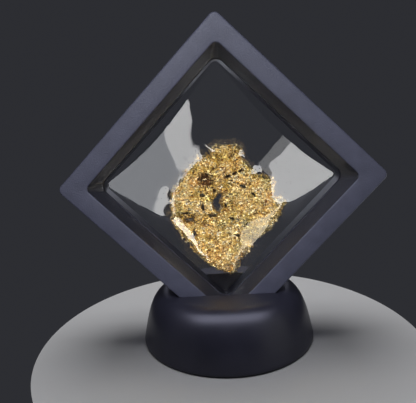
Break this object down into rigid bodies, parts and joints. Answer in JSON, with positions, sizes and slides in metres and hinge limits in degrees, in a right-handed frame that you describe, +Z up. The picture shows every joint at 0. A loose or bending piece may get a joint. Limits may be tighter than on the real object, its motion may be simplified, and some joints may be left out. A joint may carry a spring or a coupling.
{
  "type": "gold nugget",
  "caption": "Gold nugget held between two clear elastic films in a square black case, which stands on one corner in a round slotted stand.",
  "frame": {"origin": "on the ground under the middle of the stand, which is also under the middle of the case", "axes": "+Z up; the case's front and the nugget's shown face look along -Y; +X is to the viewer's right"},
  "size_m": [0.0974, 0.0552, 0.0988],
  "materials": {
    "gold": "native gold, crinkled bright flakes with red-brown crevices",
    "film": "clear glossy elastic film",
    "case_plastic": "black plastic with a fine spark-eroded texture",
    "stand_plastic": "smooth satin black plastic"
  },
  "bodies": {
    "root": {"gold_nugget": "gold", "front_film": "film", "back_film": "film", "front_frame": "case_plastic", "back_frame": "case_plastic", "stand": "stand_plastic"}
  },
  "joints": []
}
